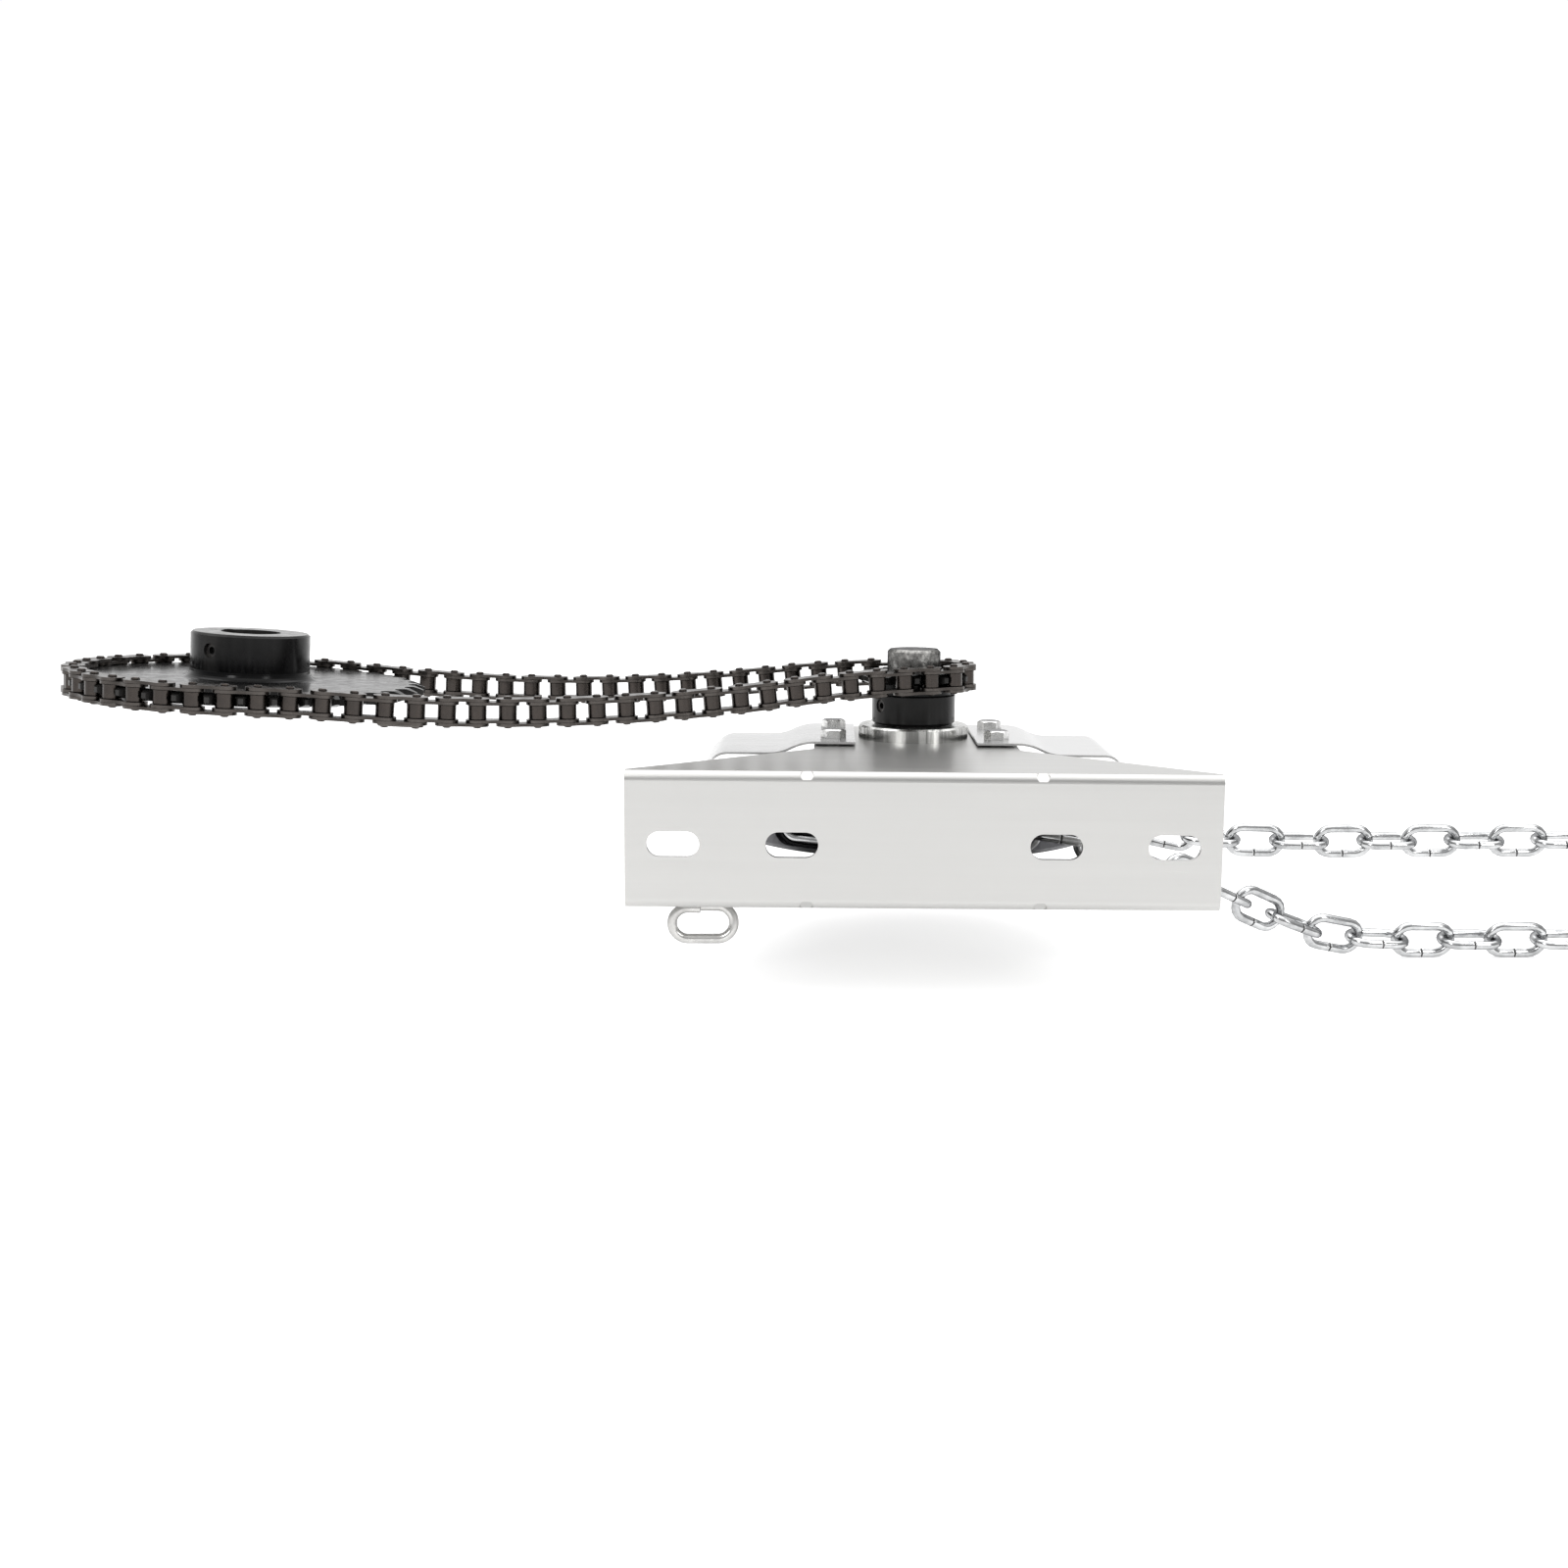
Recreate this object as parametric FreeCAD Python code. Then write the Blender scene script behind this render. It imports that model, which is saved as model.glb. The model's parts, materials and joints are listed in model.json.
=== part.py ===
"""Manual chain hoist that opens a garage door: a wall bracket carries a shaft with a pocket wheel for
the endless hand chain and a small sprocket, and a roller chain drives the sprocket of the door shaft.

Frame: origin at the centre of the wall plate's outer face, +X along the plate, +Y away from the wall,
+Z along the hoist shaft. Millimetres. Each piece is written to parts/NODE.step.
"""
import FreeCAD, Part
import math
import os

V = FreeCAD.Vector

# ---- wall bracket ----
PLATE_W = 244.0          # wall plate, along X
PLATE_H = 56.8           # outside height of the folded channel, along Z
SHEET = 2.5              # sheet thickness
BEND_R = 4.0             # outside radius of the two folds
SLANT_Y = 75.0           # where the slanted sides of the side plates end
TAB_HALF = 46.0          # half width of the tab that carries the shaft
TAB_END = 164.0          # back end of the tab
TAB_CORNER = 12.0
SLOT_OUTER = 102.4       # half spacing of the outer pair of wall slots
SLOT_INNER = 54.0        # half spacing of the inner pair
SLOT_L = 21.5
SLOT_W = 10.5
SLOT_Z = -1.65
DIMPLE_X = 48.0          # tooling marks on the folds
DIMPLE_R = 2.8
DIMPLE_DEPTH = 0.7

# ---- shaft line ----
SHAFT_Y = 121.0
SHAFT_R = 12.5
SHAFT_TOP = 70.0
SHAFT_BOTTOM = -46.0
RUN_GAP = 0.05           # radial running clearance
FLANGE_R = 25.6
FLANGE_T = 6.4
SPIGOT_R = 19.0
BUSH_R = 15.0
KEY_W = 6.0
KEY_H = 6.0
WASHER_T = 1.4
WASHER_R = 21.0
RING_T = 1.75
RING_GROOVE_R = 11.6
RING_R = 15.4

# ---- chain guides ----
GUIDE_T = 2.0
GUIDE_IN = 27.5          # inner end of the pad
GUIDE_STEP = 51.0        # where the pad ends and the joggle starts
GUIDE_LOW = 61.5         # where the joggle ends
GUIDE_OUT = 88.5         # where the lip turns down
GUIDE_LIP = 94.5         # outermost point of the lip
GUIDE_DROP = 5.0         # height of the joggle
GUIDE_LIP_DROP = 5.5
GUIDE_HALF_Y = 37.0
GUIDE_CORNER = 9.0
BOLT_X = 37.4
BOLT_DY = 20.0
BOLT_R = 3.0
BOLT_HEAD_AF = 10.0
BOLT_HEAD_H = 4.0
BOLT_HOLE_R = 3.3

# ---- keeper loop under the bracket ----
WIRE = 4.0               # wire of the loop and of the hand chain
KEEPER_X = -91.0
KEEPER_Y = 13.0
KEEPER_HALF = 6.0        # half the straight length of the loop
KEEPER_STEP = 2.05       # how far the two ends lie before and behind each other
KEEPER_LAP = -1.0        # where the front end stops

# ---- hand chain and its wheel ----
LINK_PITCH = 22.0
LINK_SLACK = 0.2         # the links' inner length over the pitch
LINK_W = 17.4            # outside width of a link
POCKETS = 12
WHEEL_TURN = 2.65        # how far a joint of the chain is past the near tangent point, degrees
WHEEL_Z = -2.0
RIM_HALF = 12.0
WHEEL_R = math.hypot(LINK_PITCH / math.sin(math.pi / 2 / POCKETS),
                     WIRE / math.cos(math.pi / 2 / POCKETS)) / 2
RIM_R = WHEEL_R + 3.0
GROOVE_W = 6.4
WHEEL_HUB_R = 23.0
STRAIGHT_LINKS = 2       # links still in the rim's path past each tangent point

# ---- roller chain, half inch pitch ----
PITCH = 12.7
ROLLER_R = 3.885
INNER_W = 6.35
PLATE_T = 1.3
PLATE_R = 4.95           # end radius of a plate
PLATE_WAIST = 3.9        # half height at the waist
PLATE_GAP = 0.15         # between an inner and an outer plate
PIN_R = 1.79
PIN_HALF = 6.875
BUSHING_R = 2.55
BUSHING_BORE = 1.9
PITCHES = 72             # links in the endless chain
JOIN_LINK = 18           # the link that the spring clip closes
CLIP_T = 0.8

# ---- sprockets ----
DRIVE_TEETH = 12
DOOR_TEETH = 36
TOOTH_T = 5.2
CHAIN_Z = 57.2           # chain plane at the drive sprocket
DRIVE_HUB_R = 19.5
DRIVE_NECK_R = 18.0      # the hub's top, where the chain's plates pass over it
DRIVE_NECK_H = 5.4
DRIVE_SCREWS = (215.0, 0.0)     # set screws of the drive sprocket's hub, degrees
DRIVE_SCREW_Z = -13.0           # below the chain plane
DOOR_HUB_R = 25.4
DOOR_HUB_TOP = 23.0      # above the chain plane
DOOR_BORE_R = 12.75      # for a one inch door shaft
DOOR_KEYWAY_W = 6.35
DOOR_KEYWAY_DEPTH = 2.9
DOOR_SCREWS = (58.5, -31.5)     # the same of the door sprocket, from its far side; keyway at the second
DOOR_SCREW_Z = 15.5
DOOR_SCREW_R = 3.2
CENTRE_ANGLE = 6.4       # the door sprocket lies this much towards the wall, degrees
WRAP_TILT = 1.0          # tilt of the chain on the drive sprocket, degrees
DOOR_TILT = 3.0          # tilt of the hanging door sprocket, degrees
# slope of a slack strand from the drive sprocket to the door sprocket: share of its length, degrees
SAG = [(0.0, -WRAP_TILT), (0.23, -6.7), (0.885, 5.6), (1.0, DOOR_TILT)]

# ---- free hand chain: routes in order from the wheel ----
CORD_D = LINK_W
NEAR_ROUTE = [(52.5, 36.7, -2.0), (68.0, 37.5, -4.5), (89.0, 41.5, -10.5), (110.0, 48.5, -19.5),
              (132.0, 60.0, -30.5), (154.5, 72.5, -42.0), (176.0, 82.5, -52.5),
              (199.0, 89.0, -59.0), (226.0, 92.0, -60.5), (258.0, 93.5, -60.5),
              (298.0, 94.5, -60.5), (345.0, 95.5, -60.5), (400.0, 98.5, -60.5),
              (455.0, 96.0, -60.5), (512.0, 96.6, -60.5)]
FAR_ROUTE = [(48.5, 205.3, -2.0), (70.0, 203.5, -6.5), (92.0, 196.5, -14.5), (113.0, 187.0, -22.5),
             (136.0, 178.0, -27.5), (163.0, 173.0, -28.5), (198.0, 170.5, -28.4),
             (242.0, 170.0, -27.9), (290.0, 170.0, -27.1), (336.0, 170.5, -26.8),
             (366.0, 173.0, -26.6), (392.0, 185.0, -26.7), (410.0, 207.0, -27.2),
             (417.0, 236.0, -29.0), (430.0, 258.0, -34.0)]
COIL_CENTRE = (512.0, 209.0)
COIL_R = 95.0            # middle of the turns
COIL_HALF_W = 1.5 * CORD_D
FLOOR_Z = NEAR_ROUTE[-1][2] - CORD_D / 2
COIL_H = 2 * CORD_D


def rad(degrees):
    return math.radians(degrees)


def cylinder(radius, z_low, z_high, x=0.0, y=0.0):
    return Part.makeCylinder(radius, z_high - z_low, V(x, y, z_low))


def lathe(points, x=0.0, y=0.0):
    """A solid turned about Z from (radius, z) points."""
    ring = [V(r, 0, z) for r, z in points]
    face = Part.Face(Part.makePolygon(ring + ring[:1]))
    turned = face.revolve(V(0, 0, 0), V(0, 0, 1), 360)
    turned.translate(V(x, y, 0))
    return turned


def box(x0, x1, y0, y1, z0, z1):
    return Part.makeBox(x1 - x0, y1 - y0, z1 - z0, V(x0, y0, z0))


def stadium(half_length, radius, thickness):
    """An obround plate in XY with its ends along X, from z = 0."""
    a, b = V(-half_length, 0, 0), V(half_length, 0, 0)
    edges = [
        Part.makeLine(a + V(0, -radius, 0), b + V(0, -radius, 0)),
        Part.Arc(b + V(0, -radius, 0), b + V(radius, 0, 0), b + V(0, radius, 0)).toShape(),
        Part.makeLine(b + V(0, radius, 0), a + V(0, radius, 0)),
        Part.Arc(a + V(0, radius, 0), a + V(-radius, 0, 0), a + V(0, -radius, 0)).toShape(),
    ]
    return Part.Face(Part.Wire(edges)).extrude(V(0, 0, thickness))


def hexagon(across_flats, z_low, z_high, x, y):
    corner = across_flats / math.sqrt(3)
    points = [V(x + corner * math.cos(rad(a)), y + corner * math.sin(rad(a)), z_low)
              for a in range(0, 361, 60)]
    return Part.Face(Part.makePolygon(points)).extrude(V(0, 0, z_high - z_low))


def placed(shape, origin, x_axis, z_axis):
    """A copy of a shape with its origin, X and Z directions put where they are given."""
    x = V(x_axis).normalize()
    z = V(z_axis)
    z = (z - x * z.dot(x)).normalize()
    y = z.cross(x)
    matrix = FreeCAD.Matrix(x.x, y.x, z.x, origin.x, x.y, y.y, z.y, origin.y,
                            x.z, y.z, z.z, origin.z, 0, 0, 0, 1)
    copy = shape.copy()
    copy.Placement = FreeCAD.Placement(matrix)
    return copy


def save(node, shape):
    solids = shape.Solids
    for solid in solids:
        if not solid.isValid():
            print("invalid solid in", node)
    Part.makeCompound(solids).exportStep("parts/" + node + ".step")
    print(node, len(solids), round(shape.Volume, 1))


# ------------------------------------------------------------------ bracket

def wall_bracket():
    h = PLATE_H / 2
    channel = box(-PLATE_W / 2, PLATE_W / 2, 0, TAB_END, -h, h)
    folds = [e for e in channel.Edges if e.BoundBox.XLength > PLATE_W - 1 and e.BoundBox.YMax < 1]
    channel = channel.makeFillet(BEND_R, folds)
    hollow = box(-PLATE_W / 2 - 1, PLATE_W / 2 + 1, SHEET, TAB_END + 1, SHEET - h, h - SHEET)
    folds = [e for e in hollow.Edges if e.BoundBox.XLength > PLATE_W and e.BoundBox.YMax < SHEET + 1]
    channel = channel.cut(hollow.makeFillet(BEND_R - SHEET, folds))
    outline = [(-PLATE_W / 2, -1), (PLATE_W / 2, -1), (PLATE_W / 2, BEND_R + 1), (TAB_HALF, SLANT_Y),
               (TAB_HALF, TAB_END), (-TAB_HALF, TAB_END), (-TAB_HALF, SLANT_Y),
               (-PLATE_W / 2, BEND_R + 1)]
    points = [V(x, y, -h - 1) for x, y in outline]
    plan = Part.Face(Part.makePolygon(points + points[:1])).extrude(V(0, 0, PLATE_H + 2))
    back = [e for e in plan.Edges if e.BoundBox.ZLength > PLATE_H and e.BoundBox.YMin > TAB_END - 1]
    body = channel.common(plan.makeFillet(TAB_CORNER, back))
    holes = [cylinder(SPIGOT_R, -h - 1, h + 1, 0, SHAFT_Y)]
    for x in (-SLOT_OUTER, -SLOT_INNER, SLOT_INNER, SLOT_OUTER):
        slot = stadium((SLOT_L - SLOT_W) / 2, SLOT_W / 2, SHEET + 2)
        slot.rotate(V(0, 0, 0), V(1, 0, 0), 90)
        slot.translate(V(x, SHEET + 1, SLOT_Z))
        holes.append(slot)
    for x in (-BOLT_X, BOLT_X):
        for y in (SHAFT_Y - BOLT_DY, SHAFT_Y + BOLT_DY):
            holes.append(cylinder(BOLT_HOLE_R, 0, h + 1, x, y))
    fold = BEND_R * (1 - math.sqrt(0.5))
    for x in (-DIMPLE_X, DIMPLE_X):
        for side in (-1, 1):
            mark = Part.makeCylinder(DIMPLE_R, 10, V(0, 0, -DIMPLE_DEPTH))
            holes.append(placed(mark, V(x, fold, side * (h - fold)), V(1, 0, 0), V(0, -1, side)))
    return body.cut(Part.makeCompound(holes))


def bearing_flange(side):
    """Turned steel flange on the outside of a side plate, with its spigot through the plate."""
    face, bevel = PLATE_H / 2, 0.8
    outer = [(BUSH_R, face - SHEET - 1), (SPIGOT_R, face - SHEET - 1), (SPIGOT_R, face),
             (FLANGE_R, face), (FLANGE_R, face + FLANGE_T - bevel),
             (FLANGE_R - bevel, face + FLANGE_T), (BUSH_R, face + FLANGE_T)]
    return lathe([(r, side * z) for r, z in outer], 0, SHAFT_Y)


def bearing_bush(side):
    face = PLATE_H / 2
    low, high = face - SHEET - 1, face + FLANGE_T - 0.3
    ring = [(SHAFT_R + RUN_GAP, low), (BUSH_R, low), (BUSH_R, high), (SHAFT_R + RUN_GAP, high)]
    return lathe([(r, side * z) for r, z in ring], 0, SHAFT_Y)


def guide_profile(lift):
    """Corners of the guide's middle line in XZ, the pad at a lift above the side plate."""
    top = PLATE_H / 2 + lift
    low = top - GUIDE_DROP
    return [(GUIDE_IN, top), (GUIDE_STEP, top), (GUIDE_LOW, low), (GUIDE_OUT, low),
            (GUIDE_LIP, low - GUIDE_LIP_DROP)]


def chain_guide(side):
    """Sheet guide bolted on the tab; its joggle, flat and lip keep the hand chain in the wheel."""
    middle = guide_profile(GUIDE_T / 2 + 0.02)
    edges = round_route([(x, 0, z) for x, z in middle], 0.42)[0]
    strip = Part.Wire(edges).makeOffset2D(GUIDE_T / 2, 0, True, True, True)
    low_y = SHAFT_Y - GUIDE_HALF_Y
    strip.translate(V(0, low_y, 0))
    plate = strip.Faces[0].extrude(V(0, 2 * GUIDE_HALF_Y, 0))
    span = box(0, GUIDE_LIP + 5, low_y, low_y + 2 * GUIDE_HALF_Y, 0, 2 * PLATE_H)
    corners = [e for e in span.Edges if e.BoundBox.ZLength > PLATE_H and e.BoundBox.XMin > GUIDE_LIP]
    plate = plate.common(span.makeFillet(GUIDE_CORNER, corners))
    for y in (SHAFT_Y - BOLT_DY, SHAFT_Y + BOLT_DY):
        plate = plate.cut(cylinder(BOLT_HOLE_R, 0, 2 * PLATE_H, BOLT_X, y))
    if side < 0:
        plate = plate.mirror(V(0, 0, 0), V(1, 0, 0))
    return plate


def guide_hardware():
    """Four hex bolts, with a washer and a nut under the side plate on each."""
    top = PLATE_H / 2 + GUIDE_T + 0.04
    under = PLATE_H / 2 - SHEET
    bolts, nuts, washers = [], [], []
    for x in (-BOLT_X, BOLT_X):
        for y in (SHAFT_Y - BOLT_DY, SHAFT_Y + BOLT_DY):
            head = hexagon(BOLT_HEAD_AF, top, top + BOLT_HEAD_H, x, y)
            crown = lathe([(0, top), (BOLT_HEAD_AF / 2 + 1.2, top),
                           (BOLT_HEAD_AF / 2 + 1.2, top + BOLT_HEAD_H - 1.0),
                           (BOLT_HEAD_AF / 2 - 0.4, top + BOLT_HEAD_H),
                           (0, top + BOLT_HEAD_H)], x, y)
            shank = cylinder(BOLT_R, under - 8.0, top + 0.5, x, y)
            bolts.append(head.common(crown).fuse(shank).removeSplitter())
            nut = hexagon(BOLT_HEAD_AF, under - 6.4, under - 1.5, x, y)
            nuts.append(nut.cut(cylinder(BOLT_R + 0.02, 0, PLATE_H, x, y)))
            ring = cylinder(6.0, under - 1.4, under, x, y)
            washers.append(ring.cut(cylinder(BOLT_HOLE_R, 0, PLATE_H, x, y)))
    return Part.makeCompound(bolts), Part.makeCompound(nuts), Part.makeCompound(washers)


# ------------------------------------------------------------------ hand chain

def wire_loop(inner_length, inner_width, wire):
    """A closed obround link in XZ with its length along X, round wire."""
    r = wire / 2
    bend = inner_width / 2 + r
    half = inner_length / 2 - inner_width / 2
    section = Part.Face(Part.Wire(Part.makeCircle(r, V(half, 0, bend), V(1, 0, 0))))
    end = section.revolve(V(half, 0, 0), V(0, 1, 0), 180)
    bar = section.extrude(V(-2 * half, 0, 0))
    halves = end.fuse(bar)
    other = halves.copy()
    other.rotate(V(0, 0, 0), V(0, 1, 0), 180)
    return halves.fuse(other).removeSplitter()


def keeper_loop():
    """Wire bent once round, its front end lying before the back one that is welded on."""
    bend_r = (LINK_W - WIRE) / 2
    corner = bend_r / math.cos(rad(22.5))
    turns = (112.5, 157.5, 202.5, 247.5, 292.5, 337.5, 382.5, 427.5)
    route = [(KEEPER_LAP, -KEEPER_STEP, bend_r)]
    for k, a in enumerate(turns):
        side = -KEEPER_HALF if k < 4 else KEEPER_HALF
        step = KEEPER_STEP * (2 * k / (len(turns) - 1) - 1)
        route.append((side + corner * math.cos(rad(a)), step, corner * math.sin(rad(a))))
    route.append((-KEEPER_HALF, KEEPER_STEP, bend_r))
    path = Part.Wire(round_route(route, 0.45)[0])
    section = Part.Wire(Part.makeCircle(WIRE / 2, V(*route[0]), V(*route[1]) - V(*route[0])))
    loop = path.makePipeShell([section], True, False)
    loop.translate(V(KEEPER_X, KEEPER_Y, -PLATE_H / 2 - LINK_W / 2))
    return loop


def keeper_weld(loop):
    z, y = -PLATE_H / 2, KEEPER_Y + KEEPER_STEP
    bead = box(KEEPER_X - 6, KEEPER_X + 6, y - 3.2, y + 3.2, z - 1.6, z)
    long_edges = [e for e in bead.Edges if e.BoundBox.XLength > 10 and e.BoundBox.ZMax < z - 1]
    bead = bead.makeFillet(1.4, long_edges)
    return bead.cut(loop)


def chain_vertices():
    """Joints between the links that ride on the wheel, from the near strand round to the far one."""
    lead = WHEEL_R * math.sin(rad(WHEEL_TURN))
    points = [V(LINK_PITCH * k + lead, SHAFT_Y - WHEEL_R, WHEEL_Z)
              for k in range(STRAIGHT_LINKS, 0, -1)]
    count = POCKETS
    for k in range(count + 1):
        a = rad(270.0 + WHEEL_TURN - 180.0 * k / count)
        points.append(V(WHEEL_R * math.cos(a), SHAFT_Y + WHEEL_R * math.sin(a), WHEEL_Z))
    points += [V(LINK_PITCH * k - lead, SHAFT_Y + WHEEL_R, WHEEL_Z)
               for k in range(1, STRAIGHT_LINKS + 1)]
    return points


def wheel_links():
    """The links on the wheel: every other one lies in a pocket, the rest stand in the groove."""
    link = wire_loop(LINK_PITCH + LINK_SLACK, LINK_W - 2 * WIRE, WIRE)
    lying, standing = [], []
    points = chain_vertices()
    for k, (a, b) in enumerate(zip(points, points[1:])):
        middle, along = (a + b) * 0.5, b - a
        if k % 2:
            standing.append(placed(link, middle, along, V(0, 0, 1).cross(along)))
        else:
            lying.append(placed(link, middle, along, V(0, 0, 1)))
    return Part.makeCompound(lying), Part.makeCompound(standing)


def hand_chain_wheel():
    """Cast wheel with a central groove and pockets that hold the lying links."""
    inner = WHEEL_R - LINK_W / 2 - 1.2
    web = 5.0
    hub = PLATE_H / 2 - SHEET - 1 - WASHER_T - 0.2
    z = WHEEL_Z
    groove = GROOVE_W / 2
    section = [(SHAFT_R, -hub), (WHEEL_HUB_R, -hub), (WHEEL_HUB_R + 2, z - web), (inner - 12, z - web),
               (inner - 8, z - RIM_HALF), (RIM_R - 2, z - RIM_HALF), (RIM_R, z - RIM_HALF + 2),
               (RIM_R, z - groove - 1), (inner, z - groove), (inner, z + groove),
               (RIM_R, z + groove + 1), (RIM_R, z + RIM_HALF - 2), (RIM_R - 2, z + RIM_HALF),
               (inner - 8, z + RIM_HALF), (inner - 12, z + web), (WHEEL_HUB_R + 2, z + web),
               (WHEEL_HUB_R, hub), (SHAFT_R, hub)]
    wheel = lathe(section)
    floor = WHEEL_R * math.cos(math.pi / 2 / POCKETS) - WIRE / 2 - 0.25
    pocket = stadium(LINK_PITCH / 2 + WIRE - LINK_W / 2 + 0.8, LINK_W / 2 + 0.45, 20.0)
    flare = stadium(LINK_PITCH / 2 + WIRE - LINK_W / 2 + 2.4, LINK_W / 2 + 1.0, 20.0)
    cutters = []
    for k in range(POCKETS):
        a = rad(360.0 * k / POCKETS - 90.0 - 90.0 / POCKETS + WHEEL_TURN)
        out = V(math.cos(a), math.sin(a), 0)
        tangent = V(-math.sin(a), math.cos(a), 0)
        cutters.append(placed(pocket, out * floor + V(0, 0, z), tangent, out))
        cutters.append(placed(flare, out * (floor + WIRE * 0.55) + V(0, 0, z), tangent, out))
    wheel = wheel.cut(Part.makeCompound(cutters))
    keyway = box(SHAFT_R - 4, SHAFT_R + KEY_H / 2 + 0.2, -KEY_W / 2, KEY_W / 2, -hub - 1, hub + 1)
    wheel = wheel.cut(keyway)
    screw = Part.makeCylinder(3.0, WHEEL_HUB_R, V(0, 0, -hub + 7), V(-1, 0, 0))
    wheel = wheel.cut(screw)
    wheel.translate(V(0, SHAFT_Y, 0))
    return wheel


# ------------------------------------------------------------------ shaft line

def shaft():
    bevel = 1.2
    groove_z = -PLATE_H / 2 - FLANGE_T - WASHER_T - 0.3
    section = [(0, SHAFT_BOTTOM), (SHAFT_R - bevel, SHAFT_BOTTOM), (SHAFT_R, SHAFT_BOTTOM + bevel),
               (SHAFT_R, groove_z - RING_T - 0.1), (RING_GROOVE_R, groove_z - RING_T - 0.1),
               (RING_GROOVE_R, groove_z), (SHAFT_R, groove_z), (SHAFT_R, SHAFT_TOP - bevel),
               (SHAFT_R - bevel, SHAFT_TOP), (0, SHAFT_TOP)]
    body = lathe(section)
    deep = SHAFT_R - KEY_H / 2
    body = body.cut(box(deep, SHAFT_R + 1, -KEY_W / 2, KEY_W / 2, -18, 18))
    body = body.cut(box(deep, SHAFT_R + 1, -KEY_W / 2, KEY_W / 2, PLATE_H / 2 + FLANGE_T, SHAFT_TOP + 1))
    body.translate(V(0, SHAFT_Y, 0))
    return body


def key(z_low, z_high):
    deep = SHAFT_R - KEY_H / 2
    return box(deep + 0.02, deep + KEY_H, SHAFT_Y - KEY_W / 2 + 0.02, SHAFT_Y + KEY_W / 2 - 0.02,
               z_low, z_high)


def set_screw(radius, start, end):
    """A socket set screw between two points, its socket at the end."""
    along = end - start
    body = Part.makeCylinder(radius, along.Length, start, along)
    flat = Part.makeCylinder(radius * 0.5, 2.2, end - V(along).normalize() * 2.0, along, 360)
    return body.cut(flat)


def thrust_washers():
    rings = []
    inside = PLATE_H / 2 - SHEET - 1
    for low in (inside - WASHER_T - 0.1, -inside + 0.1, -PLATE_H / 2 - FLANGE_T - WASHER_T - 0.15):
        radius = WASHER_R if low > -PLATE_H / 2 else WASHER_R - 1
        ring = cylinder(radius, low, low + WASHER_T, 0, SHAFT_Y)
        rings.append(ring.cut(cylinder(SHAFT_R + 0.1, -PLATE_H, PLATE_H, 0, SHAFT_Y)))
    return Part.makeCompound(rings)


def retaining_ring():
    top = -PLATE_H / 2 - FLANGE_T - WASHER_T - 0.35
    ring = cylinder(RING_R, top - RING_T, top, 0, SHAFT_Y)
    ring = ring.cut(cylinder(RING_GROOVE_R + 0.05, -PLATE_H, 0, 0, SHAFT_Y))
    return ring.cut(box(-3.0, 3.0, SHAFT_Y + 2, SHAFT_Y + RING_R + 2, -PLATE_H, 0))


# ------------------------------------------------------------------ sprockets

def pitch_radius(teeth):
    return PITCH / 2 / math.sin(math.pi / teeth)


def toothed_disc(teeth, first_gap):
    """A sprocket disc about Z, centred on z = 0, with a tooth gap at the angle first_gap."""
    pitch_r = pitch_radius(teeth)
    tip_r = PITCH / 2 * (0.6 + 1 / math.tan(math.pi / teeth)) - 0.2
    seat_r = ROLLER_R + 0.14
    opening = math.pi / teeth - 1.0 / tip_r
    spread = rad(62.0)
    edges = []
    last = None
    first = None

    def polar(r, a):
        return V(r * math.cos(a), r * math.sin(a), 0)

    for k in range(teeth):
        a = first_gap + 2 * math.pi * k / teeth
        seat = polar(pitch_r, a)
        ends = [seat + polar(seat_r, a + math.pi + s * spread) for s in (1, 0, -1)]
        tip_in, tip_out = polar(tip_r, a - opening), polar(tip_r, a + opening)
        if last is None:
            first = tip_in
        else:
            middle = polar(tip_r, a - math.pi / teeth)
            edges.append(Part.Arc(last, middle, tip_in).toShape())
        edges.append(Part.makeLine(tip_in, ends[0]))
        edges.append(Part.Arc(ends[0], ends[1], ends[2]).toShape())
        edges.append(Part.makeLine(ends[2], tip_out))
        last = tip_out
    middle = polar(tip_r, first_gap - math.pi / teeth)
    edges.append(Part.Arc(last, middle, first).toShape())
    disc = Part.Face(Part.Wire(edges)).extrude(V(0, 0, TOOTH_T))
    disc.translate(V(0, 0, -TOOTH_T / 2))
    bevel_r, bevel_z = tip_r - 4.2, TOOTH_T / 2 - 1.5
    blank = lathe([(0, -TOOTH_T / 2), (bevel_r, -TOOTH_T / 2), (tip_r + 0.1, -bevel_z),
                   (tip_r + 0.1, bevel_z), (bevel_r, TOOTH_T / 2), (0, TOOTH_T / 2)])
    return disc.common(blank)


def drive_sprocket(first_gap):
    disc = toothed_disc(DRIVE_TEETH, first_gap)
    low = PLATE_H / 2 + FLANGE_T + 0.4 - CHAIN_Z
    bevel = 1.2
    neck = -TOOTH_T / 2 - DRIVE_NECK_H
    hub = lathe([(0, low), (DRIVE_HUB_R - bevel, low), (DRIVE_HUB_R, low + bevel),
                 (DRIVE_HUB_R, neck - 0.6), (DRIVE_HUB_R - 0.6, neck), (DRIVE_NECK_R, neck),
                 (DRIVE_NECK_R, -TOOTH_T / 2), (0, -TOOTH_T / 2)])
    body = disc.fuse(hub)
    body = body.cut(cylinder(SHAFT_R, low - 1, TOOTH_T))
    body = body.cut(box(SHAFT_R - 3, SHAFT_R + KEY_H / 2 + 0.2, -KEY_W / 2, KEY_W / 2, low - 1, TOOTH_T))
    for a in DRIVE_SCREWS:
        out = V(math.cos(rad(a)), math.sin(rad(a)), 0)
        body = body.cut(Part.makeCylinder(3.0, DRIVE_HUB_R + 2, V(0, 0, DRIVE_SCREW_Z), out))
    body = body.removeSplitter()
    body.translate(V(0, SHAFT_Y, CHAIN_Z))
    return body


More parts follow.
